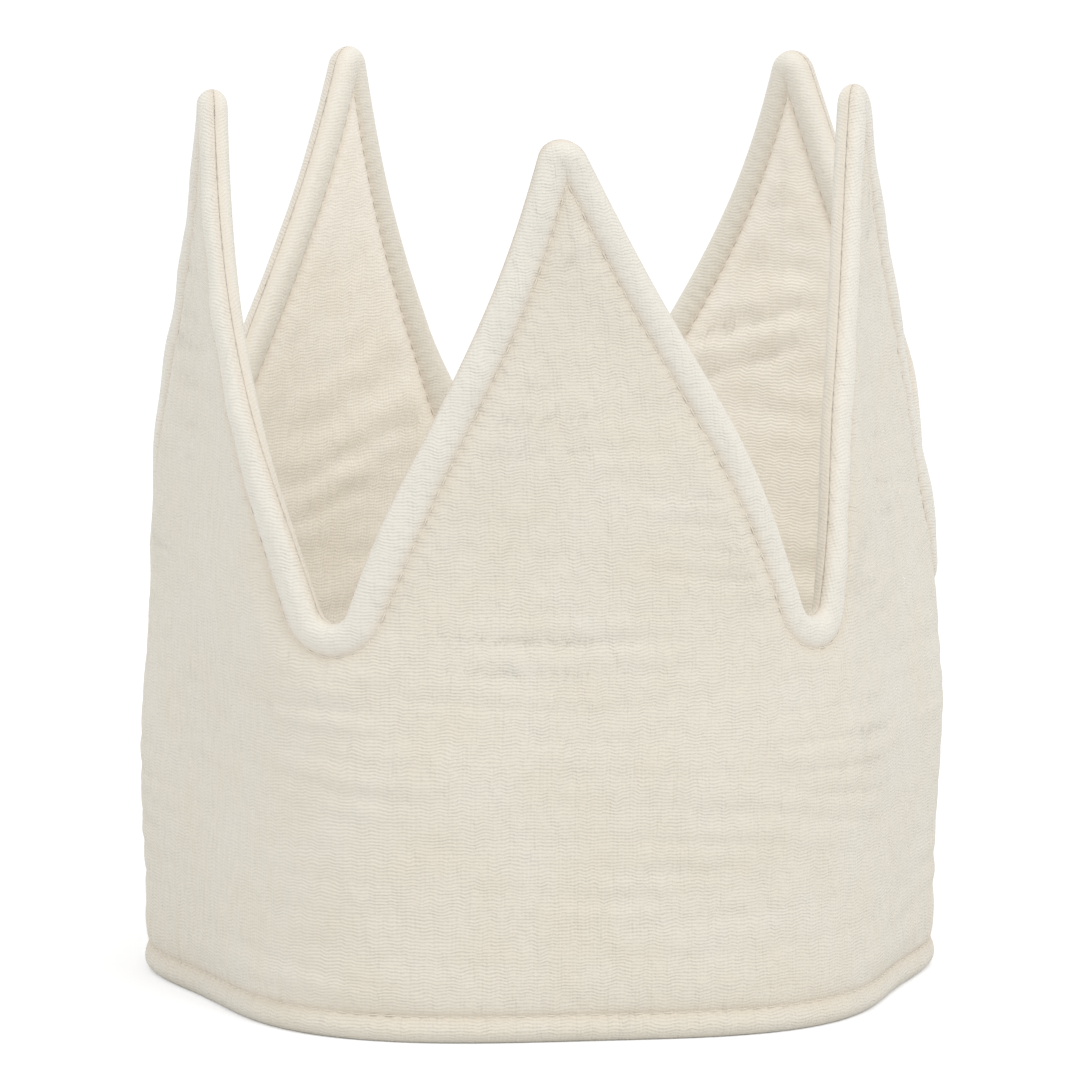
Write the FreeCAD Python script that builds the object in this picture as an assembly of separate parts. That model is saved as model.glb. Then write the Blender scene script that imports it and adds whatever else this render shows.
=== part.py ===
import FreeCAD, Part
import functools
import math
import os

os.makedirs("parts", exist_ok=True)

# A child's crown sewn from cotton muslin: two panels of cloth with a soft padding between them,
# turned out and topstitched, so that its five points stand up by themselves.
# Lengths are in millimetres. The crown stands on its hem at z = 0 and its front faces -Y.

# Cut of the panels, laid out flat and measured along the middle of the wall
GIRTH = 488.0
POINT_COUNT = 5
CROWN_HEIGHT = 180.5
VALLEY_HEIGHT = 80.5
TIP_RADIUS = 5.2
VALLEY_RADIUS = 3.5
FLANK_SWELL = 0.4
FLANK_NECK = 0.9

# Layers of the wall
CLOTH = 0.9
PADDING = 2.6
CLEARANCE = 0.3

# Turned edges, and the stitched rows that hold them down
ROLL = 5.8
EDGE_ROW = 6.4
HEM_ROW = 5.2
GROOVE_DEPTH = 1.1
GROOVE_REACH = 1.2
BASE_FLAT = 2.8

# The standing ring: waves of its radius, each as waves per turn, cosine share and sine share,
# how much flatter it is at a point than at a valley, and how far round the front point stands.
RING_WAVES = ((2, 0.043, -0.024), (3, 0.019, -0.005))
POINT_FLATTENING = 0.046
FRONT_OFFSET = 9.0

# How each soft point stands, from the back left one round the front to the back right one:
# lean inwards at the tip, lean sideways at the tip (anticlockwise from above), bulge inwards and
# bulge sideways halfway up the lean, how far the tip has settled, and its twist: how far inwards the
# tip is turned for each millimetre anticlockwise of its middle
STANCE = (
    (5.5, -9.7, 4.0, 0.0, 0.0, 0.3),
    (1.8, 0.5, -0.6, 0.5, 1.5, -0.25),
    (-2.0, -7.0, 2.5, 1.5, 6.5, 0.0),
    (12.3, -2.5, 3.6, 0.0, 1.0, 0.0),
    (-6.0, -9.5, -5.5, -4.8, 1.0, -0.3),
)
LEAN_START = 0.3
FLARE = 3.5

# Number of modelled steps round a tip, along a flank, round half a valley, and up the open field
TIP_STEPS = 3
FLANK_STEPS = 6
VALLEY_STEPS = 2
FIELD_STEPS = 4

HALF_ROLL = ROLL / 2
HALF_FIELD = PADDING / 2 + CLEARANCE + CLOTH
HALF_GROOVE = HALF_FIELD - GROOVE_DEPTH
HALF_SEAM = CLEARANCE / 2
PITCH = GIRTH / POINT_COUNT


def arc(centre, radius, first, last, steps):
    """Places along an arc laid flat, both ends included."""
    angles = [first + (last - first) * i / steps for i in range(steps + 1)]
    return [(centre[0] + radius * math.cos(a), centre[1] + radius * math.sin(a)) for a in angles]


def half_outline():
    """Half of one point laid flat, from its tip to the valley, as (distance from its middle, height).
    A round tip and a round valley are joined by a flank with a slight neck and a slight swell."""
    tip = (0.0, CROWN_HEIGHT - TIP_RADIUS)
    valley = (PITCH / 2, VALLEY_HEIGHT + VALLEY_RADIUS)
    run = valley[0] - tip[0]
    fall = tip[1] - valley[1]
    slope = math.atan2(run, fall) - math.asin((TIP_RADIUS + VALLEY_RADIUS) / math.hypot(run, fall))
    tip_arc = arc(tip, TIP_RADIUS, math.pi / 2, slope, TIP_STEPS)
    valley_arc = arc(valley, VALLEY_RADIUS, math.pi + slope, math.pi * 3 / 2, VALLEY_STEPS)
    start, end = tip_arc[-1], valley_arc[0]
    flank = []
    for i in range(1, FLANK_STEPS):
        t = i / FLANK_STEPS
        out = FLANK_SWELL * math.sin(math.pi * t) - FLANK_NECK * math.sin(2 * math.pi * t)
        flank.append((
            start[0] + (end[0] - start[0]) * t + out * math.cos(slope),
            start[1] + (end[1] - start[1]) * t + out * math.sin(slope),
        ))
    return tip_arc + flank + valley_arc


OUTLINE = half_outline()


def distance_to_edge(across, height):
    """Shortest way in the flat cloth from a place to the top edge."""
    nearest = CROWN_HEIGHT
    for side in (-1, 1):
        for (x1, z1), (x2, z2) in zip(OUTLINE, OUTLINE[1:]):
            run, rise = side * (x2 - x1), z2 - z1
            away, up = across - side * x1, height - z1
            t = min(max((away * run + up * rise) / (run * run + rise * rise), 0.0), 1.0)
            nearest = min(nearest, math.hypot(away - t * run, up - t * rise))
    return nearest


@functools.lru_cache(maxsize=None)
def height_below_edge(place, distance):
    """Height straight below a place of the half outline where the edge is the given distance away."""
    across, high = OUTLINE[place]
    low = 0.0
    while high - low > 0.001:
        middle = (low + high) / 2
        if distance_to_edge(across, middle) > distance:
            low = middle
        else:
            high = middle
    return high


def ring_radius(angle):
    """Radius of the standing ring at an angle from the front, for a ring of mean radius 1."""
    waves = [c * math.cos(n * angle) + s * math.sin(n * angle) for n, c, s in RING_WAVES]
    return 1 + sum(waves)


def ring_lengths(steps):
    """Length round that ring, from the front, at the end of each of its equal steps in angle."""
    lengths = [0.0]
    for i in range(steps):
        a, b = ring_radius(2 * math.pi * i / steps), ring_radius(2 * math.pi * (i + 1) / steps)
        lengths.append(lengths[-1] + math.sqrt(a * a + b * b - 2 * a * b * math.cos(2 * math.pi / steps)))
    return lengths


LENGTHS = ring_lengths(720)
RING_SCALE = GIRTH / LENGTHS[-1]


@functools.lru_cache(maxsize=None)
def ring_angle(along):
    """Angle from the front, positive towards +X, at a length round the ring."""
    turns, rest = divmod(along / RING_SCALE, LENGTHS[-1])
    step = next(i for i, length in enumerate(LENGTHS) if length > rest) - 1
    share = (rest - LENGTHS[step]) / (LENGTHS[step + 1] - LENGTHS[step])
    return 2 * math.pi * (turns + (step + share) / (len(LENGTHS) - 1))


def point_middle(point):
    """Length round the ring at the middle of a point, counted as in STANCE."""
    return FRONT_OFFSET + (point - POINT_COUNT // 2) * PITCH


def stance_shift(point, across, height):
    """How far the stance of one point moves the wall at a distance across from the middle of that point
    and at a height. The whole wall flares a little."""
    inwards, sideways, bulge_in, bulge_side, settled, twist = STANCE[point % POINT_COUNT]
    angle = ring_angle(point_middle(point))
    up = max(0.0, (height / CROWN_HEIGHT - LEAN_START) / (1 - LEAN_START))
    lean, halfway = up ** 1.5, 4 * up * (1 - up)
    inwards = (inwards + twist * across) * lean + bulge_in * halfway - FLARE * height / CROWN_HEIGHT
    sideways = sideways * lean + bulge_side * halfway
    return FreeCAD.Vector(
        sideways * math.cos(angle) - inwards * math.sin(angle),
        sideways * math.sin(angle) + inwards * math.cos(angle),
        -settled * lean,
    )


def wall_middle(along, height):
    """Place on the middle of the wall. Towards a valley the stances of its two points are blended."""
    nearest = math.floor((along - FRONT_OFFSET) / PITCH + 0.5)
    off = (along - FRONT_OFFSET) / PITCH - nearest
    point = nearest + POINT_COUNT // 2
    angle = ring_angle(along)
    flattening = 1 - POINT_FLATTENING * math.cos(2 * math.pi * off)
    radius = RING_SCALE * ring_radius(angle) * flattening
    side = 1 if off > 0 else -1
    own = stance_shift(point, off * PITCH, height)
    other = stance_shift(point + side, (off - side) * PITCH, height)
    t = max(0.0, (abs(off) - 0.3) / 0.2)
    share = t * t * (3 - 2 * t) / 2
    ring = FreeCAD.Vector(radius * math.sin(angle), -radius * math.cos(angle), height)
    return ring + own * (1 - share) + other * share


def wall_place(along, height, offset):
    """Place at an offset from the middle of the wall, outwards if positive."""
    step = 0.2
    round_wall = wall_middle(along + step, height) - wall_middle(along - step, height)
    up_wall = wall_middle(along, height + step) - wall_middle(along, height - step)
    normal = round_wall.cross(up_wall)
    if height < ROLL:
        normal.z = 0
    return wall_middle(along, height) + normal.normalize() * offset


def columns():
    """The modelled columns round the ring, as (length round the ring, place in the half outline)."""
    last = TIP_STEPS + FLANK_STEPS + VALLEY_STEPS
    result = []
    for point in range(POINT_COUNT):
        for i in range(-last, last):
            result.append((point_middle(point) + math.copysign(OUTLINE[abs(i)][0], i), abs(i)))
    return result


COLUMNS = columns()


def above_hem(height, offset):
    """A row of the section at a height above the hem."""
    return lambda place: height, offset


def below_edge(distance, offset):
    """A row of the section at a distance from the top edge."""
    return lambda place: height_below_edge(place, distance), offset


def in_field(step, offset):
    """A row of the section part way up the open field between the two stitched grooves."""
    def height(place):
        low, high = HEM_ROW + GROOVE_REACH, height_below_edge(place, EDGE_ROW + GROOVE_REACH)
        return low + (high - low) * step / FIELD_STEPS
    return height, offset


def field_rows(offset):
    return [in_field(step, offset) for step in range(1, FIELD_STEPS)]


def ring_solid(rows):
    """A closed solid all round the crown, whose section runs through the rows in order."""
    points = []
    for along, place in COLUMNS:
        for height, offset in rows:
            points.append(wall_place(along, height(place), offset))
    depth = len(rows)
    triangles = []
    for i in range(len(COLUMNS)):
        here, there = i * depth, (i + 1) % len(COLUMNS) * depth
        for k in range(depth):
            up = (k + 1) % depth
            a, b, c, d = here + k, there + k, there + up, here + up
            if points[a].distanceToPoint(points[c]) < points[b].distanceToPoint(points[d]):
                triangles += [(a, b, c), (a, c, d)]
            else:
                triangles += [(a, b, d), (b, c, d)]
    shell = Part.Shape()
    shell.makeShapeFromMesh((points, triangles), 0.001)
    solid = Part.makeSolid(shell)
    if solid.Volume < 0:
        solid.reverse()
    return solid.removeSplitter()


def panel(side):
    """One muslin panel, on the outside of the wall if side is 1 and on the inside if it is -1.
    At both edges the cloth is turned in as far as the stitched row and fills its half of the roll."""
    flat = math.asin(BASE_FLAT / ROLL)
    shoulder = math.pi / 3
    seam, back = side * HALF_SEAM, side * (HALF_FIELD - CLOTH)
    roll, groove, field = side * HALF_ROLL, side * HALF_GROOVE, side * HALF_FIELD
    face = [
        above_hem(0.0, roll * math.sin(flat)),
        above_hem(HALF_ROLL * (math.cos(flat) - math.cos(shoulder)), roll * math.sin(shoulder)),
        above_hem(HEM_ROW - GROOVE_REACH, roll),
        above_hem(HEM_ROW, groove),
        above_hem(HEM_ROW + GROOVE_REACH, field),
        *field_rows(field),
        below_edge(EDGE_ROW + GROOVE_REACH, field),
        below_edge(EDGE_ROW, groove),
        below_edge(EDGE_ROW - GROOVE_REACH, roll),
        below_edge(HALF_ROLL * (1 - math.cos(shoulder)), roll * math.sin(shoulder)),
        below_edge(HALF_ROLL * (1 - math.cos(shoulder / 2)), roll * math.sin(shoulder / 2)),
        below_edge(0.0, seam),
    ]
    hidden = [
        below_edge(EDGE_ROW, seam),
        below_edge(EDGE_ROW + GROOVE_REACH, back),
        *reversed(field_rows(back)),
        above_hem(HEM_ROW + GROOVE_REACH, back),
        above_hem(HEM_ROW, seam),
        above_hem(0.0, seam),
    ]
    return ring_solid(face + hidden)


def interlining():
    """The soft padding, which ends just inside both stitched grooves."""
    inset = GROOVE_REACH + CLEARANCE
    half = PADDING / 2
    outside = [above_hem(HEM_ROW + inset, half), *field_rows(half), below_edge(EDGE_ROW + inset, half)]
    inside = [(height, -offset) for height, offset in reversed(outside)]
    return ring_solid(outside + inside)


pieces = {
    "outer_panel": panel(1),
    "lining_panel": panel(-1),
    "interlining": interlining(),
}
middle = pieces["outer_panel"].BoundBox.Center
for name, piece in pieces.items():
    piece.translate(FreeCAD.Vector(-middle.x, -middle.y, 0))
    piece.exportStep("parts/" + name + ".step")
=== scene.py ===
import bpy
import numpy as np
from mathutils import Matrix, Vector


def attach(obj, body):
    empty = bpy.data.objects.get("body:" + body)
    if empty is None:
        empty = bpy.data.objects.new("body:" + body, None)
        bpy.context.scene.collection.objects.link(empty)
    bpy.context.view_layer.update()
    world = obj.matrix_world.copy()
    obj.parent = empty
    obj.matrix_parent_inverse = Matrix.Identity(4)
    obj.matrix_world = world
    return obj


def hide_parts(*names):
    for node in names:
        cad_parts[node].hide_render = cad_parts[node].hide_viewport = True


bl_info = {
    "name": "Padded Muslin Crown",
    "version": (1, 0, 0),
    "blender": (4, 5, 0),
    "location": "View3D > Sidebar > Crown",
    "description": "Sews the cloth, padding and stitching of a child's muslin crown, and sets up its stage",
    "category": "Object",
}

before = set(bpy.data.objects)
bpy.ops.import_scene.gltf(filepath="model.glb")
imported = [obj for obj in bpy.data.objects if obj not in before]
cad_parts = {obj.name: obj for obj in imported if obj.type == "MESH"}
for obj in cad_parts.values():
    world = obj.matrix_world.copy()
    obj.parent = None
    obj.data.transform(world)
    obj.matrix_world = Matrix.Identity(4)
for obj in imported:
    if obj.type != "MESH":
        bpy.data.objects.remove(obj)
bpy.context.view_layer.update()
MM = 0.001

# The standing ring: waves of its radius, each as waves per turn, cosine share and sine share.
RING_WAVES = ((2, 0.043, -0.024), (3, 0.019, -0.005))
POINT_FLATTENING = 0.046
FRONT_OFFSET = 9.0 * MM

# How each soft point stands, from the back left one round the front to the back right one: lean inwards
# and sideways at the tip, bulge inwards and sideways halfway up the lean, and how far the tip has settled.
STANCE = MM * np.array([
    [5.5, -9.7, 4.0, 0.0, 0.0],
    [1.8, 0.5, -0.6, 0.5, 1.5],
    [-2.0, -7.0, 2.5, 1.5, 6.5],
    [12.3, -2.5, 3.6, 0.0, 1.0],
    [-6.0, -9.5, -5.5, -4.8, 1.0],
])
# How far inwards each tip is turned for each millimetre anticlockwise of its middle.
TWIST = np.array([0.3, -0.25, 0.0, 0.0, -0.3])
LEAN_START = 0.3
FLARE = 3.5 * MM

# The section of the sewn wall: how deep the ellipse is that rounds the top edge, how far the stuffed roll
# reaches before it falls to its stitched row, how soon the wall has swelled back past the row, half the gap
# where the two panels meet, and the deepest dent that the padding allows.
EDGE_DEPTH = 3.2 * MM
ROLL_FALL = 3.4 * MM
ROW_RISE = 1.5 * MM
SEAM_GAP = 0.03 * MM
DEEPEST_DENT = 0.7 * MM

# Blender's wave texture repeats after this much of its scaled coordinate.
WAVE_REPEAT = np.pi / 10


def linear(code):
    """The linear colour of an sRGB hex code. Each part c becomes c / 12.92 up to 0.04045, and
    ((c + 0.055) / 1.055) ^ 2.4 above it."""
    parts = [int(code[i:i + 2], 16) / 255 for i in (1, 3, 5)]
    return tuple(c / 12.92 if c <= 0.04045 else ((c + 0.055) / 1.055) ** 2.4 for c in parts)


def length(name, default, description):
    """A property for a size in metres."""
    return bpy.props.FloatProperty(name=name, default=default, min=0.0, unit="LENGTH", precision=5,
                                   description=description)


def colour(name, code, description):
    """A property for a colour, given by its hex code."""
    return bpy.props.FloatVectorProperty(name=name, default=linear(code), size=3, min=0.0, max=1.0,
                                         subtype="COLOR", description=description)


class CrownCut(bpy.types.PropertyGroup):
    """Sizes of the cut panels and of the sewn wall."""
    girth: length("Girth", 0.488, "Length round the middle of the wall")
    points: bpy.props.IntProperty(name="Points", default=5, min=2,
                                  description="Number of points round the crown")
    height: length("Height", 0.1805, "Height of the panels at a tip")
    valley: length("Valley height", 0.0805, "Height of the panels between two points")
    tip_radius: length("Tip radius", 0.0052, "Rounding of a tip in the flat cut")
    valley_radius: length("Valley radius", 0.0035, "Rounding between two points in the flat cut")
    swell: length("Flank swell", 0.0004, "How far a flank swells at its middle")
    neck: length("Flank neck", 0.0009, "How far a flank draws in below its tip")
    roll: length("Rolled edge", 0.0058, "Thickness of the stuffed edge")
    edge_row: length("Edge row", 0.0064, "Distance of the stitched row from the top edge")
    hem_row: length("Hem row", 0.0052, "Height of the stitched row above the hem")
    base_flat: length("Hem flat", 0.0028, "Width of the flat on which the hem rests")
    wall: length("Wall", 0.005, "Thickness of the padded wall between the stitched rows")
    waist: length("Stitched wall", 0.0036, "Thickness of the wall at a stitched row")
    padding: length("Padding", 0.0026, "Thickness of the padding")


class CrownCloth(bpy.types.PropertyGroup):
    """Look of the double gauze, its thread and the padding."""
    weft: length("Weft pitch", 0.00068, "Distance between two weft ribs")
    warp: length("Warp pitch", 0.0008, "Distance between two warp threads")
    crinkle: length("Crinkle width", 0.0031, "Width of the small puffs of the double gauze")
    wrinkle: length("Wrinkle height", 0.00045, "Height of the soft wrinkles across the wall")
    stitch: length("Stitch pitch", 0.003, "Distance from one stitch to the next")
    thread: length("Thread", 0.00028, "Thickness of the sewing thread")
    puff_depth: length("Puff depth", 0.00065, "Height of the small puffs")
    pleat_depth: length("Pleat depth", 0.00018, "Height of the pleats between two stitches")
    rib_depth: length("Rib depth", 0.00008, "Height of the weft ribs")
    outer: colour("Outer muslin", "#E4DED0", "Colour of the outer panel")
    # The edge colour is a painted highlight: the outer panel is painted lighter along its rolled top edge,
    # which faces up into the light. The lining takes the same colour there, a little darker than its own.
    edge: colour("Edge", "#E9E4D8", "Colour of the highlighted cloth along the rolled edge")
    # The lining colour is lighter than the lining muslin's own colour: partly its own colour and partly painted
    # light, standing in for light that comes through the thin gauze into the crown.
    lining: colour("Lining muslin", "#F7F1E6", "Colour of the lining")
    # The stitched-groove colour is painted shade: a warm darker colour laid into the stitched grooves and where
    # the two panels meet at the top edge.
    shade: colour("Stitched groove", "#D6C0A8", "Colour deep in a stitched groove")
    # The dark thread colour is painted shade between the plies, where the ply bump is low.
    ply_shade: colour("Thread, dark", "#DED5C4", "Colour of the thread between its plies")
    ply_light: colour("Thread, light", "#EBE5D9", "Colour of the thread on its plies")
    wadding_dark: colour("Padding, dark", "#E4E0D6", "Colour of the padding where it is loose")
    wadding_light: colour("Padding, light", "#F6F4EE", "Colour of the padding where it is dense")


class CrownStage(bpy.types.PropertyGroup):
    """Camera and light."""
    distance: length("Camera distance", 2.112, "Distance of the camera from the crown")
    elevation: bpy.props.FloatProperty(name="Camera elevation", default=np.radians(7.0), subtype="ANGLE",
                                       description="Height of the camera above the horizon")
    roll: bpy.props.FloatProperty(name="Camera roll", default=np.radians(0.489), subtype="ANGLE",
                                  description="Turn of the camera about its own axis")
    lens: bpy.props.FloatProperty(name="Lens", default=354.9, min=10.0, subtype="DISTANCE_CAMERA",
                                  description="Focal length for a 36 mm sensor")
    floor: colour("Floor", "#E8E9EB", "Colour of the floor")
    floor_glow: bpy.props.FloatProperty(name="Floor glow", default=0.30, min=0.0,
                                        description="Light added to the floor where the camera sees it")
    sky_light: bpy.props.FloatProperty(name="Sky light", default=0.88, min=0.0,
                                       description="Strength of the light all round")
    key_light: bpy.props.FloatProperty(name="Key light", default=16.0, min=0.0, subtype="POWER",
                                       description="Power of the lamp on the right")
    fill_light: bpy.props.FloatProperty(name="Fill light", default=6.0, min=0.0, subtype="POWER",
                                        description="Power of the lamp on the left")


class Wall:
    """The middle of the sewn wall, from the flat cut of the panels and the ring in which they stand.
    u is the length round the ring from the front, x the distance from the middle of a point, z the height
    in the flat cut, d the distance to the top edge and s the length along that edge."""

    def __init__(self, cut):
        self.cut = cut
        self.pitch = cut.girth / cut.points
        self.angles = np.linspace(0, 2 * np.pi, 1441)
        radius = self.ring_radius(self.angles)
        steps = np.hypot(np.diff(radius * np.sin(self.angles)), np.diff(radius * np.cos(self.angles)))
        self.scale = cut.girth / steps.sum()
        self.lengths = np.append(0, np.cumsum(steps)) * self.scale
        self.middles = FRONT_OFFSET + (np.arange(cut.points) - cut.points // 2) * self.pitch
        self.edge = self.half_outline(tip_steps=12, flank_steps=60, valley_steps=12)
        self.run = np.append(0, np.cumsum(np.hypot(*np.diff(self.edge, axis=0).T)))

    def half_outline(self, tip_steps, flank_steps, valley_steps):
        """Half of one point laid flat, from tip to valley: an arc, a straight flank pushed out by
        swell sin(pi t) - neck sin(2 pi t), and an arc."""
        cut = self.cut
        tip = np.array([0, cut.height - cut.tip_radius])
        valley = np.array([self.pitch / 2, cut.valley + cut.valley_radius])
        run, fall = valley[0] - tip[0], tip[1] - valley[1]
        slope = np.arctan2(run, fall) - np.arcsin((cut.tip_radius + cut.valley_radius) / np.hypot(run, fall))
        a = np.linspace(np.pi / 2, slope, tip_steps + 1)
        b = np.linspace(np.pi + slope, np.pi * 3 / 2, valley_steps + 1)
        tip_arc = tip + cut.tip_radius * np.stack([np.cos(a), np.sin(a)], 1)
        valley_arc = valley + cut.valley_radius * np.stack([np.cos(b), np.sin(b)], 1)
        t = np.arange(1, flank_steps)[:, None] / flank_steps
        out = cut.swell * np.sin(np.pi * t) - cut.neck * np.sin(2 * np.pi * t)
        flank = tip_arc[-1] + (valley_arc[0] - tip_arc[-1]) * t + out * [[np.cos(slope), np.sin(slope)]]
        return np.concatenate([tip_arc, flank, valley_arc])

    def to_edge(self, x, z):
        """Nearest way to the top edge: d, s from the tip, and the direction (x, z) towards the edge."""
        shape = np.broadcast(x, z).shape
        place = np.stack(np.broadcast_arrays(x, z), -1).reshape(-1, 1, 2)
        start, leg = self.edge[:-1], np.diff(self.edge, axis=0)
        size = np.hypot(leg[:, 0], leg[:, 1])
        t = np.clip(((place - start) * leg).sum(-1) / size ** 2, 0, 1)
        gap = np.hypot(*np.moveaxis(place - start - t[..., None] * leg, -1, 0))
        nearest = gap.argmin(1)
        row = np.arange(len(nearest))
        s = self.run[nearest] + t[row, nearest] * size[nearest]
        towards = np.stack([-leg[nearest, 1], leg[nearest, 0]], -1) / size[nearest, None]
        return gap[row, nearest].reshape(shape), s.reshape(shape), towards.reshape(shape + (2,))

    def below_edge(self, x, d):
        """Height straight below the edge at x where the edge is d away, found by halving."""
        high = np.interp(x, self.edge[:, 0], self.edge[:, 1]) + 0 * d
        low = np.zeros_like(high)
        for _ in range(22):
            middle = (low + high) / 2
            deep = self.to_edge(x + 0 * middle, middle)[0] > d
            low, high = np.where(deep, middle, low), np.where(deep, high, middle)
        return high

    def ring_radius(self, angle):
        """Radius of the ring before it is scaled to the girth: 1, and c cos(n a) + s sin(n a) for each wave."""
        return 1 + sum(c * np.cos(n * angle) + s * np.sin(n * angle) for n, c, s in RING_WAVES)

    def ring_angle(self, u):
        """Angle at the length u round the ring, read back from the summed lengths of small steps."""
        turns = np.floor(u / self.cut.girth)
        return np.interp(u - turns * self.cut.girth, self.lengths, self.angles) + 2 * np.pi * turns

    def stance_shift(self, point, across, z):
        """Shift of the wall by one point's stance, across from the middle of that point: lean and twist with
        up ^ 1.5, bulge with 4 up (1 - up), and a flare."""
        lean_in, lean_side, bulge_in, bulge_side, settled = np.moveaxis(STANCE[point % len(STANCE)], -1, 0)
        angle = self.ring_angle(self.middles)[point % self.cut.points]
        up = np.clip((z / self.cut.height - LEAN_START) / (1 - LEAN_START), 0, None)
        lean, halfway = up ** 1.5, 4 * up * (1 - up)
        inwards = (lean_in + TWIST[point % len(TWIST)] * across) * lean + bulge_in * halfway
        inwards = inwards - FLARE * z / self.cut.height
        sideways = lean_side * lean + bulge_side * halfway
        return np.stack([
            sideways * np.cos(angle) - inwards * np.sin(angle),
            sideways * np.sin(angle) + inwards * np.cos(angle),
            -settled * lean,
        ], -1)

    def middle(self, u, z):
        """Place on the middle of the wall: the ring, flattened at the points, shifted by the stances of the
        two nearest points, blended by a smooth step over the last fifth of a pitch on each side."""
        u, z = np.broadcast_arrays(u, z)
        nearest = np.floor((u - FRONT_OFFSET) / self.pitch + 0.5)
        off = (u - FRONT_OFFSET) / self.pitch - nearest
        point = nearest.astype(int) + self.cut.points // 2
        angle = self.ring_angle(u)
        radius = self.scale * self.ring_radius(angle) * (1 - POINT_FLATTENING * np.cos(2 * np.pi * off))
        t = np.clip((np.abs(off) - 0.3) / 0.2, 0, None)
        share = (t * t * (3 - 2 * t) / 2)[..., None]
        aside = np.where(off > 0, 1, -1)
        own = self.stance_shift(point, off * self.pitch, z)
        other = self.stance_shift(point + aside, (off - aside) * self.pitch, z)
        ring = np.stack([radius * np.sin(angle), -radius * np.cos(angle), z], -1)
        return ring + own * (1 - share) + other * share

    def normal(self, u, z):
        """Outward normal: the cross product of small steps round and up, level near the hem."""
        step = 0.2 * MM
        round_ring = self.middle(u + step, z) - self.middle(u - step, z)
        upwards = self.middle(u, z + step) - self.middle(u, z - step)
        normal = np.cross(round_ring, upwards)
        near_hem = np.broadcast_to(z, normal.shape[:-1]) < self.cut.roll
        normal[..., 2] = np.where(near_hem, 0, normal[..., 2])
        return normal / np.linalg.norm(normal, axis=-1, keepdims=True)

    def place(self, u, z, offset):
        """Place at an offset from the middle of the wall, outwards if positive, in the frame's axes."""
        return self.middle(u, z) + self.normal(u, z) * np.asarray(offset)[..., None] - self.centre

    def set_centre(self):
        """Middle of the outer face's box, which is where the frame has its origin."""
        self.centre = np.zeros(3)
        u, z = np.meshgrid(np.linspace(0, self.cut.girth, 1200), np.linspace(0, 1, 60), indexing="ij")
        x = np.abs((u - FRONT_OFFSET + self.pitch / 2) % self.pitch - self.pitch / 2)
        z = z * (np.interp(x, self.edge[:, 0], self.edge[:, 1]) - self.cut.roll / 2)
        face = self.place(u, z, self.cut.wall / 2 + 0 * z)
        hem = self.place(u, z * 0 + self.cut.roll / 2, self.cut.roll / 2 + 0 * z)
        face = np.concatenate([face, hem]).reshape(-1, 3)
        self.centre = np.append((face.min(0) + face.max(0))[:2] / 2, 0)


def stitched(gap, thick, waist, field):
    """Half thickness beside a stitched row. gap is the distance past it, negative towards the edge, where the
    stuffed roll falls to the waist with the power 2.2. Past the row the wall swells back with
    1 - exp(-gap / rise), and a little more 5 mm past it, where the padding was pushed together."""
    outside = thick - (thick - waist) * np.clip(1 + gap / ROLL_FALL, 0, 1) ** 2.2
    swell = 0.22 * MM * np.exp(-((gap - 5 * MM) / (3 * MM)) ** 2)
    inside = waist + (field - waist) * (1 - np.exp(-np.clip(gap, 0, None) / ROW_RISE)) + swell
    return np.where(gap < 0, outside, inside)


def edge_profile(d, cut):
    """Half thickness at a distance d from the top edge: a quarter ellipse, then the stitched row."""
    t = np.clip(1 - d / EDGE_DEPTH, 0, 1)
    return stitched(d - cut.edge_row, cut.roll / 2, cut.waist / 2, cut.wall / 2) * np.sqrt(1 - t * t)


def hem_profile(z, cut):
    """Half thickness at a height z: a circle cut off by the floor, then the stitched row."""
    r = cut.roll / 2
    rise = np.sqrt(r * r - (cut.base_flat / 2) ** 2)
    t = np.clip(rise - z, 0, rise)
    return stitched(z - cut.hem_row, r, cut.waist / 2, cut.wall / 2) * np.sqrt(1 - t * t / (r * r))


def spare_cloth(profile, d):
    """Cloth taken up by the section between d and the open wall 16 mm in: the sum of sqrt(dd^2 + dh^2) - dd
    over small steps, which are closest where the edge is rounded."""
    rounded = EDGE_DEPTH * (1 - np.cos(np.linspace(0, np.pi / 2, 60)))
    fine = np.concatenate([rounded, np.linspace(3.25, 16, 300) * MM])
    steps = np.hypot(np.diff(fine), np.diff(profile(fine))) - np.diff(fine)
    return np.interp(d, fine, np.append(np.cumsum(steps[::-1])[::-1], 0))


def waves(u, z, girth, seed, count, across, up):
    """Sum of count sine waves with random phases, sin(2 pi n u / girth + k z + p), whose lengths are near
    across round the ring and near up in height. Its root mean square is 1."""
    rng = np.random.default_rng(seed)
    total = np.zeros(np.broadcast(u, z).shape)
    for _ in range(count):
        turns = np.round(girth / across * rng.uniform(0.3, 1.7)) * rng.choice((-1, 1))
        rise = 2 * np.pi / (up * rng.uniform(0.7, 1.6))
        total += np.sin(2 * np.pi * turns * u / girth + rise * z + rng.uniform(0, 2 * np.pi))
    return total * np.sqrt(2 / count)


def smooth(value, low, high):
    """Smooth step from 0 at low to 1 at high."""
    t = np.clip((value - low) / (high - low), 0, 1)
    return t * t * (3 - 2 * t)


def ring_columns(wall, tip_steps, flank_steps, valley_steps):
    """Columns of a panel: x of the half point, and for each column round the ring u, its sign and its place
    in the half point. Round the arcs they are evenly turned, and along a flank evenly spaced."""
    half = wall.half_outline(tip_steps, flank_steps, valley_steps)[:, 0]
    last = len(half) - 1
    place = np.tile(np.arange(-last, last), wall.cut.points)
    sign = np.where(place < 0, -1, 1)
    u = np.repeat(wall.middles, 2 * last) + sign * half[np.abs(place)]
    point = np.repeat(np.arange(wall.cut.points), 2 * last)
    return half, u, sign, np.abs(place), point


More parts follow.
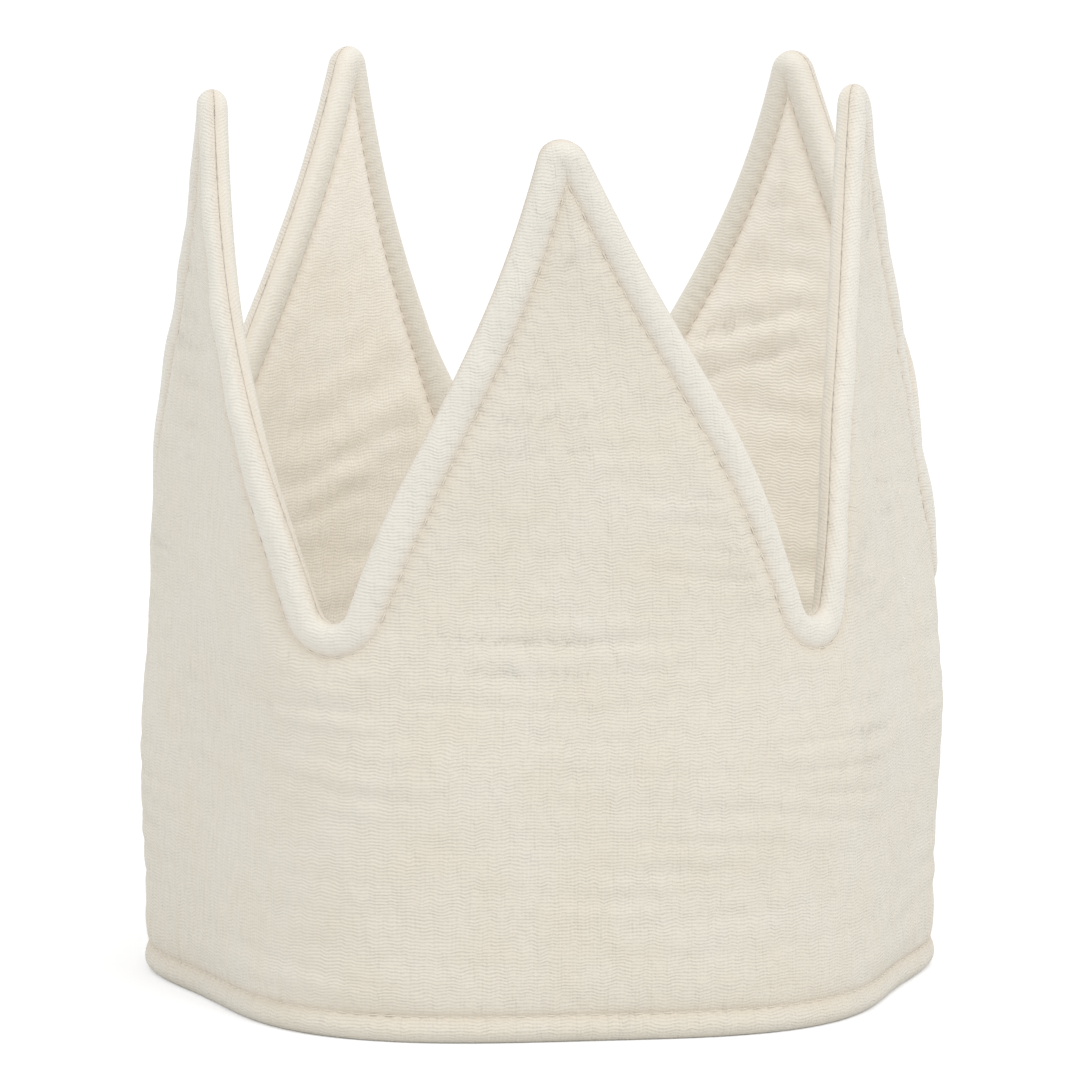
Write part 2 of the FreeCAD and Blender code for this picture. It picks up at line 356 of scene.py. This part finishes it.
def section_rows(cut):
    """Where the rows of a panel's grid lie, as heights above the floor and as distances from the top edge. Both
    lists turn evenly round their rolled edge and are close beside the stitched row."""
    turn = np.linspace(np.arcsin(cut.base_flat / cut.roll), np.pi / 2, 9)
    beside = MM * np.array([0.0, 0.18, 0.45, 0.85, 1.4, 2.0])
    hem_rows = np.concatenate([
        cut.roll / 2 * (np.cos(turn[0]) - np.cos(turn)), cut.hem_row - beside[:0:-1], cut.hem_row + beside])
    turn = np.linspace(0, np.pi / 2, 11)
    beside = MM * np.array([0.0, 0.18, 0.45, 0.85, 1.4, 2.1, 3.0])
    edge_rows = np.concatenate([
        cut.edge_row + beside[::-1], cut.edge_row - beside[1:], EDGE_DEPTH * (1 - np.sin(turn)[1:])])
    return hem_rows, edge_rows


def panel_surface(wall, side, steps, field_steps, relief):
    """The face of one panel with its turned-in edges: grids of places, cloth lengths, run along the rows,
    and masks. A row of the grid keeps its distance to the nearer edge, and the open wall is shared evenly.
    The half thickness is the profile of the top edge plus that of the hem less that of the open wall."""
    cut = wall.cut
    half, u, sign, fold, point = ring_columns(wall, *steps)
    hem_rows, edge_rows = section_rows(cut)
    high = wall.below_edge(half[:, None], edge_rows[None, :])
    hem = np.broadcast_to(hem_rows, (len(half), len(hem_rows)))
    t = np.linspace(0, 1, field_steps + 2)[1:-1]
    field = hem[:, -1:] + (high[:, :1] - hem[:, -1:]) * t
    z = np.concatenate([hem, field, high], 1)
    d, s, towards = wall.to_edge(half[:, None], z)
    upper = np.arange(z.shape[1]) > len(hem_rows) + field_steps // 2

    z, d, s, towards = z[fold], d[fold], s[fold], towards[fold]
    along = 2 * wall.run[-1] * point[:, None] + sign[:, None] * s
    across = u[:, None] + 0 * z

    # The cloth that the roll takes up lies towards the edge. Straight below a tip, where the two flanks meet,
    # it lies only upwards.
    spare = spare_cloth(lambda v: edge_profile(v, cut), np.minimum(d, cut.edge_row))
    spare = spare - spare.min()
    hem_spare = spare_cloth(lambda v: hem_profile(v, cut), z)
    aside = sign[:, None] * towards[..., 0] * smooth(half[fold], 0, 4 * MM)[:, None]
    cloth = np.stack([across + aside * spare, z + towards[..., 1] * spare - hem_spare], -1)

    # The puckers fade where the rows of both flanks meet below a tip.
    near = np.where(upper, d - cut.edge_row, z - cut.hem_row)
    run = np.stack([np.where(upper, along, across), near], -1)
    flank = smooth(half[fold], 0.5 * MM, 4 * MM)[:, None]
    below_tip = smooth(d, 3 * MM, 5 * MM) * upper * (1 - flank)
    # The masks for the colour paint shade into the stitched grooves and where the two panels meet at the top
    # edge, and a highlight along the rolled top edge. The pucker mask only shapes the bumps.
    masks = {
        "groove": np.exp(-(near / (1.1 * MM)) ** 2),
        "pucker": np.exp(-np.abs(near) / (2.6 * MM)) * (1 - below_tip),
        "roll": 1 - smooth(d, 5.2 * MM, 7.4 * MM),
        "seam": np.exp(-(d / (0.3 * MM)) ** 2),
    }
    thick = edge_profile(d, cut) + hem_profile(z, cut) - cut.wall / 2
    thick = np.maximum(thick + np.maximum(relief(across, z, d, along), -DEEPEST_DENT), SEAM_GAP)

    # Three more rows below and two above are turned in between the panels.
    inner_low = np.broadcast_to(np.array([4.0, 1.5, 0.0]) * MM, (len(u), 3))
    inner_high = wall.below_edge(half[:, None], np.array([[1.0, 3.5]]) * MM)[fold]
    tuck = np.array([0.35, 0.06, 0.03]) * MM
    z = np.concatenate([inner_low, z, inner_high], 1)
    thick = np.concatenate([0 * inner_low + tuck, thick, 0 * inner_high + tuck[1::-1]], 1)
    places = wall.place(u[:, None] + 0 * z, z, side * thick)
    pad = ((0, 0), (3, 2))
    cloth = np.pad(cloth, pad + ((0, 0),), mode="edge")
    run = np.pad(run, pad + ((0, 0),), mode="edge")
    masks = {name: np.pad(mask, pad, mode="edge") for name, mask in masks.items()}
    return places, cloth, run, masks


def link(obj):
    """Puts an object into the scene."""
    bpy.context.scene.collection.objects.link(obj)
    return obj


def new_piece(name, places, faces, material, layers=None, masks=None):
    """A smooth mesh piece. faces is one array of corners or several, and layers its corner coordinates."""
    mesh = bpy.data.meshes.new(name)
    corners = [face for array in faces for face in array.tolist()]
    mesh.from_pydata(places.reshape(-1, 3).tolist(), [], corners)
    for layer, values in (layers or {}).items():
        mesh.uv_layers.new(name=layer).uv.foreach_set("vector", values.astype(np.float32).ravel())
    for mask, values in (masks or {}).items():
        values = values.astype(np.float32).ravel()
        mesh.attributes.new(mask, "FLOAT", "POINT").data.foreach_set("value", values)
    mesh.shade_smooth()
    mesh.update()
    mesh.materials.append(material)
    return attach(link(bpy.data.objects.new(name, mesh)), "root")


def ring_faces(count, rows, side, closed=False):
    """Four corners for each step i round the ring and j up the section, and the same corners where the
    last column isn't folded back to the first. On the inner side the order is turned round."""
    i, j = np.meshgrid(np.arange(count), np.arange(rows if closed else rows - 1), indexing="ij")
    up = (j + 1) % rows
    corners = [(i, j), (i + 1, j), (i + 1, up), (i, up)][::side]
    folded = np.stack([(a % count) * rows + b for a, b in corners], -1).reshape(-1, 4)
    opened = np.stack([a * rows + b for a, b in corners], -1).reshape(-1, 4)
    return folded, opened


def wrap(values, step):
    """Adds the first column again at the end, moved on by one whole turn."""
    return np.concatenate([values, values[:1] + np.array([step, 0.0])]).reshape(-1, 2)


def make_panel(name, side, steps, field_steps, relief, material):
    """One panel: side is 1 outside and -1 inside, and steps divide a tip, a flank and a valley. The run goes
    round the hem in the lower half of its rows and along the whole top edge in the upper half."""
    wall = sewn_wall()
    places, cloth, run, masks = panel_surface(wall, side, steps, field_steps, relief)
    folded, opened = ring_faces(len(places), places.shape[1], side)
    edge_length = 2 * wall.run[-1] * wall.cut.points
    middle = places.shape[1] // 2
    turn = np.where(np.arange(places.shape[1]) > middle, edge_length, wall.cut.girth)
    run = np.concatenate([run, run[:1] + np.stack([turn, 0 * turn], -1)]).reshape(-1, 2)
    layers = {"cloth": wrap(cloth, wall.cut.girth)[opened], "run": run[opened]}
    return new_piece(name, places, [folded], material, layers, masks)


def sewn_wall():
    """The wall at its present sizes, centred on the frame's origin."""
    wall = Wall(bpy.context.scene.crown_cut)
    wall.set_centre()
    return wall


def outer_relief(wall, cloth):
    """Soft shapes of the outer panel: wrinkles across the wall with narrow creases, sqrt(w^2 + 0.1), where w
    is a sum of waves limited by 1.2 tanh(w / 1.2), broad dents, pulls beside the stitched row, and a stuffing
    of the roll and the hem that varies along them."""
    girth = wall.cut.girth
    total = 2 * wall.run[-1] * wall.cut.points
    dent, pull, stuffing, hem = 0.28 * MM, 0.10 * MM, 0.12 * MM, 0.06 * MM

    def relief(u, z, d, s):
        open_wall = smooth(d, 6.5 * MM, 12 * MM) * smooth(z, 5 * MM, 11 * MM)
        w = 1.2 * np.tanh(waves(u, z, girth, 3, 16, 0.14, 0.012) / 1.2)
        fine = waves(u, z, girth, 11, 18, 0.045, 0.0065)
        mask = smooth(waves(u, z, girth, 5, 8, 0.12, 0.06), -0.8, 1.2)
        creases = (np.sqrt(w * w + 0.1) - 0.8) * (0.35 + 0.65 * mask) + 0.15 * fine * mask
        dents = waves(u, z, girth, 7, 8, 0.11, 0.07) * smooth(z, 5 * MM, 40 * MM)
        past_row = np.abs(d - wall.cut.edge_row - 1.5 * MM)
        on_roll = (1 - smooth(d, 4 * MM, 6.5 * MM)) * smooth(d, 0, 2 * MM)
        on_hem = (1 - smooth(z, 2 * MM, 12 * MM)) * smooth(z, 0, 2.5 * MM)
        return (
            cloth.wrinkle * creases * open_wall + dent * dents * open_wall
            + pull * waves(s, 0 * z, total, 9, 14, 0.011, 1.0) * np.exp(-past_row / (4 * MM))
            + stuffing * waves(s, 0 * z, total, 13, 12, 0.03, 1.0) * on_roll
            + hem * waves(u, z, girth, 15, 14, 0.02, 1.0) * on_hem)
    return relief


def lining_relief(wall):
    """Soft shapes of the lining: slanted broad folds, sqrt(w^2 + 0.05), and fine wrinkles across."""
    girth = wall.cut.girth
    fold_height, fine_height = 0.45 * MM, 0.10 * MM

    def relief(u, z, d, s):
        open_wall = smooth(d, 6.5 * MM, 12 * MM) * smooth(z, 5 * MM, 11 * MM)
        w = waves(u, z + 0.35 * u, girth, 23, 10, 0.16, 0.016)
        fold = (np.sqrt(w * w + 0.05) - 0.8) * smooth(waves(u, z, girth, 25, 8, 0.12, 0.07), -1, 1)
        fine = waves(u, z, girth, 27, 12, 0.06, 0.009)
        return (fold_height * fold + fine_height * fine) * open_wall
    return relief


def add_node(tree, kind, inputs=None, **settings):
    """Adds one node. settings are its own, and inputs are socket values or the outputs linked to them."""
    node = tree.nodes.new(kind)
    for key, value in settings.items():
        setattr(node, key, value)
    for key, value in (inputs or {}).items():
        if isinstance(value, bpy.types.NodeSocket):
            tree.links.new(value, node.inputs[key])
        else:
            node.inputs[key].default_value = value
    return node


def new_material(name):
    """A material with nodes, its tree and its shader."""
    material = bpy.data.materials.new(name)
    material.use_nodes = True
    return material, material.node_tree, material.node_tree.nodes["Principled BSDF"]


def gauze(name, base, edge, shade, cloth, strength):
    """Double gauze: two thin loose layers of soft cotton muslin, caught together at small intervals and washed,
    so that ribs of weft waver across small puffs. It is matt and slightly downy."""
    material, tree, shader = new_material(name)
    flat = add_node(tree, "ShaderNodeUVMap", uv_map="cloth").outputs[0]
    run = add_node(tree, "ShaderNodeUVMap", uv_map="run").outputs[0]
    masks = {m: add_node(tree, "ShaderNodeAttribute", attribute_name=m).outputs["Fac"]
             for m in ("groove", "pucker", "roll", "seam")}

    # Puffs of the two layers: one crinkle width across and two and a half up. They shift the threads by up to
    # 0.25 mm across and 0.75 mm up or down.
    puffs_at = add_node(tree, "ShaderNodeMapping", {
        "Vector": flat, "Scale": (1 / cloth.crinkle, 0.4 / cloth.crinkle, 1)}).outputs[0]
    puffs = add_node(tree, "ShaderNodeTexNoise", {
        "Vector": puffs_at, "Scale": 1.0, "Detail": 1.5, "Roughness": 0.5}, noise_dimensions="2D").outputs
    shift = add_node(tree, "ShaderNodeVectorMath", {
        0: puffs["Color"], 1: (0.5, 0.5, 0.5)}, operation="SUBTRACT").outputs[0]
    shift = add_node(tree, "ShaderNodeVectorMath", {
        0: shift, 1: (0.5 * MM, 1.5 * MM, 0)}, operation="MULTIPLY").outputs[0]
    threads_at = add_node(tree, "ShaderNodeVectorMath", {0: flat, 1: shift}).outputs[0]

    # The height of the threads: ribs of weft, two fifths as much warp, and slubs about 1.1 mm long.
    weft, warp = (
        add_node(tree, "ShaderNodeTexWave", {
            "Vector": threads_at, "Scale": WAVE_REPEAT / pitch, "Distortion": 0.0},
            bands_direction=direction).outputs["Fac"]
        for pitch, direction in ((cloth.weft, "Y"), (cloth.warp, "X")))
    slubs = add_node(tree, "ShaderNodeTexNoise", {
        "Vector": threads_at, "Scale": 1 / (1.1 * MM), "Detail": 3.0, "Roughness": 0.6},
        noise_dimensions="2D").outputs["Fac"]
    threads = weft
    for part, share in ((warp, 0.4), (slubs, 1.6)):
        threads = add_node(tree, "ShaderNodeMath", {
            0: part, 1: share, 2: threads}, operation="MULTIPLY_ADD").outputs[0]

    # Puckers between the stitches of a row.
    pleats = add_node(tree, "ShaderNodeTexWave", {
        "Vector": run, "Scale": WAVE_REPEAT / cloth.stitch, "Distortion": 1.5, "Detail": 1.0,
        "Detail Scale": 0.7}, bands_direction="X").outputs["Fac"]
    pleats = add_node(tree, "ShaderNodeMath", {0: pleats, 1: masks["pucker"]}, operation="MULTIPLY").outputs[0]

    # The bumps, each on top of the one before: puffs, puckers and threads.
    below = {}
    for height, depth in (
            (puffs["Fac"], cloth.puff_depth), (pleats, cloth.pleat_depth), (threads, cloth.rib_depth)):
        bump = add_node(tree, "ShaderNodeBump", {
            "Height": height, "Strength": strength, "Distance": depth, **below})
        below = {"Normal": bump.outputs[0]}
    tree.links.new(below["Normal"], shader.inputs["Normal"])

    # Colour: a drift in warmth over 14 mm, painted shade between the threads, a painted highlight along the
    # rolled top edge, and warm painted shade in the stitched rows and where the two panels meet at the top
    # edge.
    drift = add_node(tree, "ShaderNodeTexNoise", {
        "Vector": flat, "Scale": 1 / (14 * MM), "Detail": 2.0}, noise_dimensions="2D").outputs["Fac"]
    warm = tuple(c * f for c, f in zip(base, (0.99, 0.97, 0.93))) + (1,)
    cool = tuple(min(c * f, 1) for c, f in zip(base, (1.01, 1.015, 1.03))) + (1,)
    tint = add_node(tree, "ShaderNodeMix", {"Factor": drift, 6: warm, 7: cool}, data_type="RGBA").outputs[2]
    # Painted highlight: along the rolled top edge the colour turns to the edge colour, lighter than the outer
    # panel.
    tint = add_node(tree, "ShaderNodeMix", {
        "Factor": masks["roll"], 6: tint, 7: (*edge, 1)}, data_type="RGBA").outputs[2]
    # Painted shade between the threads: the colour is darkened by up to 5.5 % times the strength where the
    # threads are low.
    thread_gap_shade = add_node(tree, "ShaderNodeMapRange", {
        "Value": threads, "From Min": 0.6, "From Max": 1.8,
        "To Min": 1 - 0.055 * strength, "To Max": 1.0}).outputs[0]
    tint = add_node(tree, "ShaderNodeVectorMath", {0: tint, 3: thread_gap_shade}, operation="SCALE").outputs[0]
    # Painted shade: the colour turns towards the warm stitched-groove colour in the stitched rows and where the
    # two panels meet at the top edge.
    deep = add_node(tree, "ShaderNodeMath", {0: masks["groove"], 1: 0.28}, operation="MULTIPLY").outputs[0]
    deep = add_node(tree, "ShaderNodeMath", {
        0: masks["seam"], 1: 0.30, 2: deep}, operation="MULTIPLY_ADD", use_clamp=True).outputs[0]
    tint = add_node(tree, "ShaderNodeMix", {
        "Factor": deep, 6: tint, 7: (*shade, 1)}, data_type="RGBA").outputs[2]
    tree.links.new(tint, shader.inputs["Base Color"])
    shader.inputs["Roughness"].default_value = 0.92
    shader.inputs["Specular IOR Level"].default_value = 0.2
    shader.inputs["Sheen Weight"].default_value = 0.25
    shader.inputs["Sheen Roughness"].default_value = 0.6
    return material


class CROWN_OT_outer_panel(bpy.types.Operator):
    """Make the outer muslin panel."""
    bl_idname = "crown.outer_panel"
    bl_label = "Outer Panel"

    def execute(self, context):
        cloth = context.scene.crown_cloth
        wall = sewn_wall()
        material = gauze("washed_double_gauze_outer", cloth.outer, cloth.edge, cloth.shade, cloth, 1.0)
        piece = make_panel(
            "outer_cloth", side=1, steps=(9, 46, 6), field_steps=108, relief=outer_relief(wall, cloth),
            material=material)
        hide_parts("outer_panel")
        return {"FINISHED"}


class CROWN_OT_lining_panel(bpy.types.Operator):
    """Make the lining panel."""
    bl_idname = "crown.lining_panel"
    bl_label = "Lining Panel"

    def execute(self, context):
        cloth = context.scene.crown_cloth
        wall = sewn_wall()
        # The lining colour is partly painted light: lighter than the lining's own muslin, for light that comes
        # through the gauze into the crown.
        material = gauze("washed_double_gauze_lining", cloth.lining, cloth.edge, cloth.shade, cloth, 0.55)
        piece = make_panel(
            "lining_cloth", side=-1, steps=(9, 34, 6), field_steps=84, relief=lining_relief(wall),
            material=material)
        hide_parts("lining_panel")
        return {"FINISHED"}


def wadding(cloth):
    """Cotton wadding: loose fibres needled into a soft, matt, off-white fleece, with tufts of about 2.5 mm."""
    material, tree, shader = new_material("needled_cotton_wadding")
    place = add_node(tree, "ShaderNodeTexCoord").outputs["Object"]
    fleece = add_node(tree, "ShaderNodeTexNoise", {
        "Vector": place, "Scale": 1 / (2.5 * MM), "Detail": 5.0}).outputs["Fac"]
    tint = add_node(tree, "ShaderNodeMix", {
        "Factor": fleece, 6: (*cloth.wadding_dark, 1), 7: (*cloth.wadding_light, 1)},
        data_type="RGBA").outputs[2]
    bump = add_node(tree, "ShaderNodeBump", {"Height": fleece, "Strength": 0.6, "Distance": 0.5 * MM})
    tree.links.new(tint, shader.inputs["Base Color"])
    tree.links.new(bump.outputs[0], shader.inputs["Normal"])
    shader.inputs["Roughness"].default_value = 0.95
    return material


class CROWN_OT_padding(bpy.types.Operator):
    """Make the padding between the panels."""
    bl_idname = "crown.padding"
    bl_label = "Padding"

    def execute(self, context):
        """The section is a flat loop: out along one face, round by a half ellipse, and back along the other."""
        wall = sewn_wall()
        cut = wall.cut
        steps, past_row = 24, 1.8 * MM
        half, u, _, fold, _ = ring_columns(wall, tip_steps=4, flank_steps=14, valley_steps=3)
        low = cut.hem_row + past_row
        high = wall.below_edge(half, cut.edge_row + past_row)[fold]
        t = (1 - np.cos(np.linspace(0, np.pi, steps + 1))) / 2
        t = np.concatenate([t, t[-2:0:-1]])
        z = low + (high[:, None] - low) * t
        rounded = np.clip(np.abs(2 * t - 1) * 20 - 19, 0, 1)
        face = np.where(np.arange(len(t)) <= steps, 1, -1)
        thick = face * np.sqrt(1 - rounded ** 2) * cut.padding / 2
        places = wall.place(u[:, None] + 0 * z, z, thick + 0 * z)
        folded, _ = ring_faces(len(places), len(t), 1, closed=True)
        piece = new_piece("padding", places, [folded], wadding(context.scene.crown_cloth))
        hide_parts("interlining")
        return {"FINISHED"}


def stitches(wall, path, side, pitch, thread, sides=6, rings=6):
    """Stitches along a path given as flat places (u, z) all round the crown. A stitch is a tube from t = -1
    to 1 with the radius thread / 2 (1 - 0.5 t^6), which dips at both ends with t^4 into the groove and takes
    up 0.76 of the pitch."""
    rise, dip = 0.16 * MM, 0.42 * MM
    total = np.append(0, np.cumsum(np.hypot(*np.diff(path, axis=0).T)))
    count = int(round(total[-1] / pitch))
    t = np.linspace(-1, 1, rings)
    at = (np.arange(count)[:, None] + 0.5 + 0.38 * t) * total[-1] / count
    u, z = np.interp(at, total, path[:, 0]), np.interp(at, total, path[:, 1])
    offset = wall.cut.waist / 2 + rise - dip * t ** 4
    centre = wall.place(u, z, side * offset + 0 * u)
    along = np.gradient(centre, axis=1)
    along /= np.linalg.norm(along, axis=-1, keepdims=True)
    up = side * wall.normal(u, z)
    beside = np.cross(along, up)
    beside /= np.linalg.norm(beside, axis=-1, keepdims=True)
    up = np.cross(beside, along)
    turn = np.linspace(0, 2 * np.pi, sides, endpoint=False)[:, None]
    radius = (thread / 2 * (1 - 0.5 * t ** 6))[:, None, None]
    rim = np.cos(turn) * up[:, :, None, :] + np.sin(turn) * beside[:, :, None, :]
    return centre[:, :, None, :] + radius * rim


def stitch_faces(count, sides, rings):
    """Four corners for each step along and round each tube, and a cap of all corners at both ends."""
    n, j, k = np.meshgrid(np.arange(count), np.arange(rings - 1), np.arange(sides), indexing="ij")
    first = n * rings * sides
    here, there = first + j * sides, first + (j + 1) * sides
    walls = np.stack([here + k, here + (k + 1) % sides, there + (k + 1) % sides, there + k], -1).reshape(-1, 4)
    starts = np.arange(count)[:, None] * rings * sides
    return [walls, starts + np.arange(sides)[::-1], starts + (rings - 1) * sides + np.arange(sides)]


def sewing_thread(cloth):
    """Spun polyester sewing thread: fine plies twisted together, about three to the millimetre, with a soft
    sheen. All the stitching shares it."""
    material = bpy.data.materials.get("spun_sewing_thread")
    if material:
        return material
    material, tree, shader = new_material("spun_sewing_thread")
    place = add_node(tree, "ShaderNodeTexCoord").outputs["Object"]
    plies = add_node(tree, "ShaderNodeTexNoise", {
        "Vector": place, "Scale": 3 / MM, "Detail": 2.0}).outputs["Fac"]
    # Painted shade: the thread is darker where the ply noise, which is also its bump, is low.
    tint = add_node(tree, "ShaderNodeMix", {
        "Factor": plies, 6: (*cloth.ply_shade, 1), 7: (*cloth.ply_light, 1)}, data_type="RGBA").outputs[2]
    bump = add_node(tree, "ShaderNodeBump", {"Height": plies, "Strength": 0.5, "Distance": 0.1 * MM})
    tree.links.new(tint, shader.inputs["Base Color"])
    tree.links.new(bump.outputs[0], shader.inputs["Normal"])
    shader.inputs["Roughness"].default_value = 0.6
    shader.inputs["Sheen Weight"].default_value = 0.2
    return material


def make_stitching(name, path):
    """One row of stitches, on the outer face and on the inner one."""
    cloth = bpy.context.scene.crown_cloth
    wall = sewn_wall()
    rows = [stitches(wall, path, side, cloth.stitch, cloth.thread) for side in (1, -1)]
    places = np.concatenate(rows)
    faces = stitch_faces(len(places), places.shape[2], places.shape[1])
    return new_piece(name, places, faces, sewing_thread(cloth))


class CROWN_OT_edge_stitching(bpy.types.Operator):
    """Sew the row that follows the points."""
    bl_idname = "crown.edge_stitching"
    bl_label = "Edge Stitching"

    def execute(self, context):
        wall = sewn_wall()
        half = np.linspace(0, wall.pitch / 2, 200)
        z = wall.below_edge(half, wall.cut.edge_row)
        x = np.concatenate([-half[:0:-1], half])
        z = np.concatenate([z[:0:-1], z])
        path = np.concatenate([np.stack([middle + x, z], 1) for middle in wall.middles])
        make_stitching("edge_stitching", path)
        return {"FINISHED"}


class CROWN_OT_hem_stitching(bpy.types.Operator):
    """Sew the row above the hem."""
    bl_idname = "crown.hem_stitching"
    bl_label = "Hem Stitching"

    def execute(self, context):
        wall = sewn_wall()
        u = np.linspace(0, wall.cut.girth, 1000)
        make_stitching("hem_stitching", np.stack([u, wall.cut.hem_row + 0 * u], 1))
        return {"FINISHED"}


class CROWN_OT_declare(bpy.types.Operator):
    bl_idname = "crown.declare"
    bl_label = "Declare Cloth"

    def execute(self, context):
        """Builds the wall at its present sizes and returns; no area is worked out."""
        wall = sewn_wall()
        return {"FINISHED"}


def area_light(name, place, target, size, power, tone):
    """A round soft lamp that points at the target."""
    light = bpy.data.lights.new(name, "AREA")
    light.shape, light.size, light.energy, light.color = "DISK", size, power, tone
    lamp = link(bpy.data.objects.new(name, light))
    lamp.location = place
    lamp.rotation_mode = "QUATERNION"
    lamp.rotation_quaternion = (Vector(target) - Vector(place)).to_track_quat("-Z", "Y")


class CROWN_OT_stage(bpy.types.Operator):
    """Set the floor, the light and the camera."""
    bl_idname = "crown.stage"
    bl_label = "Stage"

    def execute(self, context):
        stage = context.scene.crown_stage
        wall = sewn_wall()
        material, tree, shader = new_material("matt_white_paper")
        shader.inputs["Base Color"].default_value = (*stage.floor, 1)
        shader.inputs["Roughness"].default_value = 1.0
        shader.inputs["Specular IOR Level"].default_value = 0.0
        # Uncoated paper, quite matt. It is seen burnt out to white, as in a studio picture on a lit table.
        seen = add_node(tree, "ShaderNodeLightPath").outputs["Is Camera Ray"]
        glow = add_node(tree, "ShaderNodeMath", {0: seen, 1: stage.floor_glow}, operation="MULTIPLY").outputs[0]
        shader.inputs["Emission Color"].default_value = (1, 1, 1, 1)
        tree.links.new(glow, shader.inputs["Emission Strength"])
        mesh = bpy.data.meshes.new("floor")
        mesh.from_pydata([(-8, -8, 0), (8, -8, 0), (8, 8, 0), (-8, 8, 0)], [], [(0, 1, 2, 3)])
        mesh.materials.append(material)
        link(bpy.data.objects.new("floor", mesh))

        world = bpy.data.worlds.new("studio")
        world.use_nodes = True
        background = world.node_tree.nodes["Background"]
        background.inputs["Color"].default_value = (1.0, 1.0, 1.0, 1.0)
        background.inputs["Strength"].default_value = stage.sky_light
        context.scene.world = world
        context.scene.view_settings.view_transform = "Standard"
        middle = (0, 0, 0.09)
        area_light("key", (0.9, -1.1, 2.2), middle, 1.2, stage.key_light, (1.0, 1.0, 1.0))
        area_light("fill", (-1.1, -1.0, 2.0), middle, 1.4, stage.fill_light, (0.97, 0.985, 1.0))

        # The camera aims at the middle of the picture, on the axis of the unshifted ring.
        target = Vector((-1.11 * MM, 0, 87.2 * MM)) - Vector(wall.centre)
        back = Vector((0, -np.cos(stage.elevation), np.sin(stage.elevation)))
        up = Vector((0, np.sin(stage.elevation), np.cos(stage.elevation)))
        right = Vector((1, 0, 0))
        c, s = np.cos(stage.roll), np.sin(stage.roll)
        axes = (right * c + up * s, up * c - right * s, back)
        lens = bpy.data.cameras.new("camera")
        lens.lens = stage.lens
        lens.sensor_width = 36
        camera = link(bpy.data.objects.new("camera", lens))
        turned = Matrix(axes).transposed().to_4x4()
        camera.matrix_world = Matrix.Translation(target + back * stage.distance) @ turned
        context.scene.camera = camera
        return {"FINISHED"}


class CROWN_PT_panel(bpy.types.Panel):
    """Sizes, colours and steps of the crown."""
    bl_idname = "CROWN_PT_panel"
    bl_label = "Muslin Crown"
    bl_space_type = "VIEW_3D"
    bl_region_type = "UI"
    bl_category = "Crown"

    def draw(self, context):
        for group in (context.scene.crown_cut, context.scene.crown_cloth, context.scene.crown_stage):
            box = self.layout.box()
            for key in group.bl_rna.properties.keys():
                if key not in ("rna_type", "name"):
                    box.prop(group, key)
        for operator in OPERATORS:
            self.layout.operator(operator.bl_idname)


GROUPS = {"crown_cut": CrownCut, "crown_cloth": CrownCloth, "crown_stage": CrownStage}
OPERATORS = (CROWN_OT_stage, CROWN_OT_padding, CROWN_OT_outer_panel, CROWN_OT_lining_panel,
             CROWN_OT_edge_stitching, CROWN_OT_hem_stitching, CROWN_OT_declare)


def register():
    for cls in (*GROUPS.values(), *OPERATORS, CROWN_PT_panel):
        bpy.utils.register_class(cls)
    for name, group in GROUPS.items():
        setattr(bpy.types.Scene, name, bpy.props.PointerProperty(type=group))


def unregister():
    for name in GROUPS:
        delattr(bpy.types.Scene, name)
    for cls in (CROWN_PT_panel, *reversed(OPERATORS), *reversed(GROUPS.values())):
        bpy.utils.unregister_class(cls)


def main():
    register()
    bpy.ops.crown.stage()
    bpy.ops.crown.padding()
    bpy.ops.crown.outer_panel()
    bpy.ops.crown.lining_panel()
    bpy.ops.crown.edge_stitching()
    bpy.ops.crown.hem_stitching()
    bpy.ops.crown.declare()


if __name__ == "__main__":
    main()
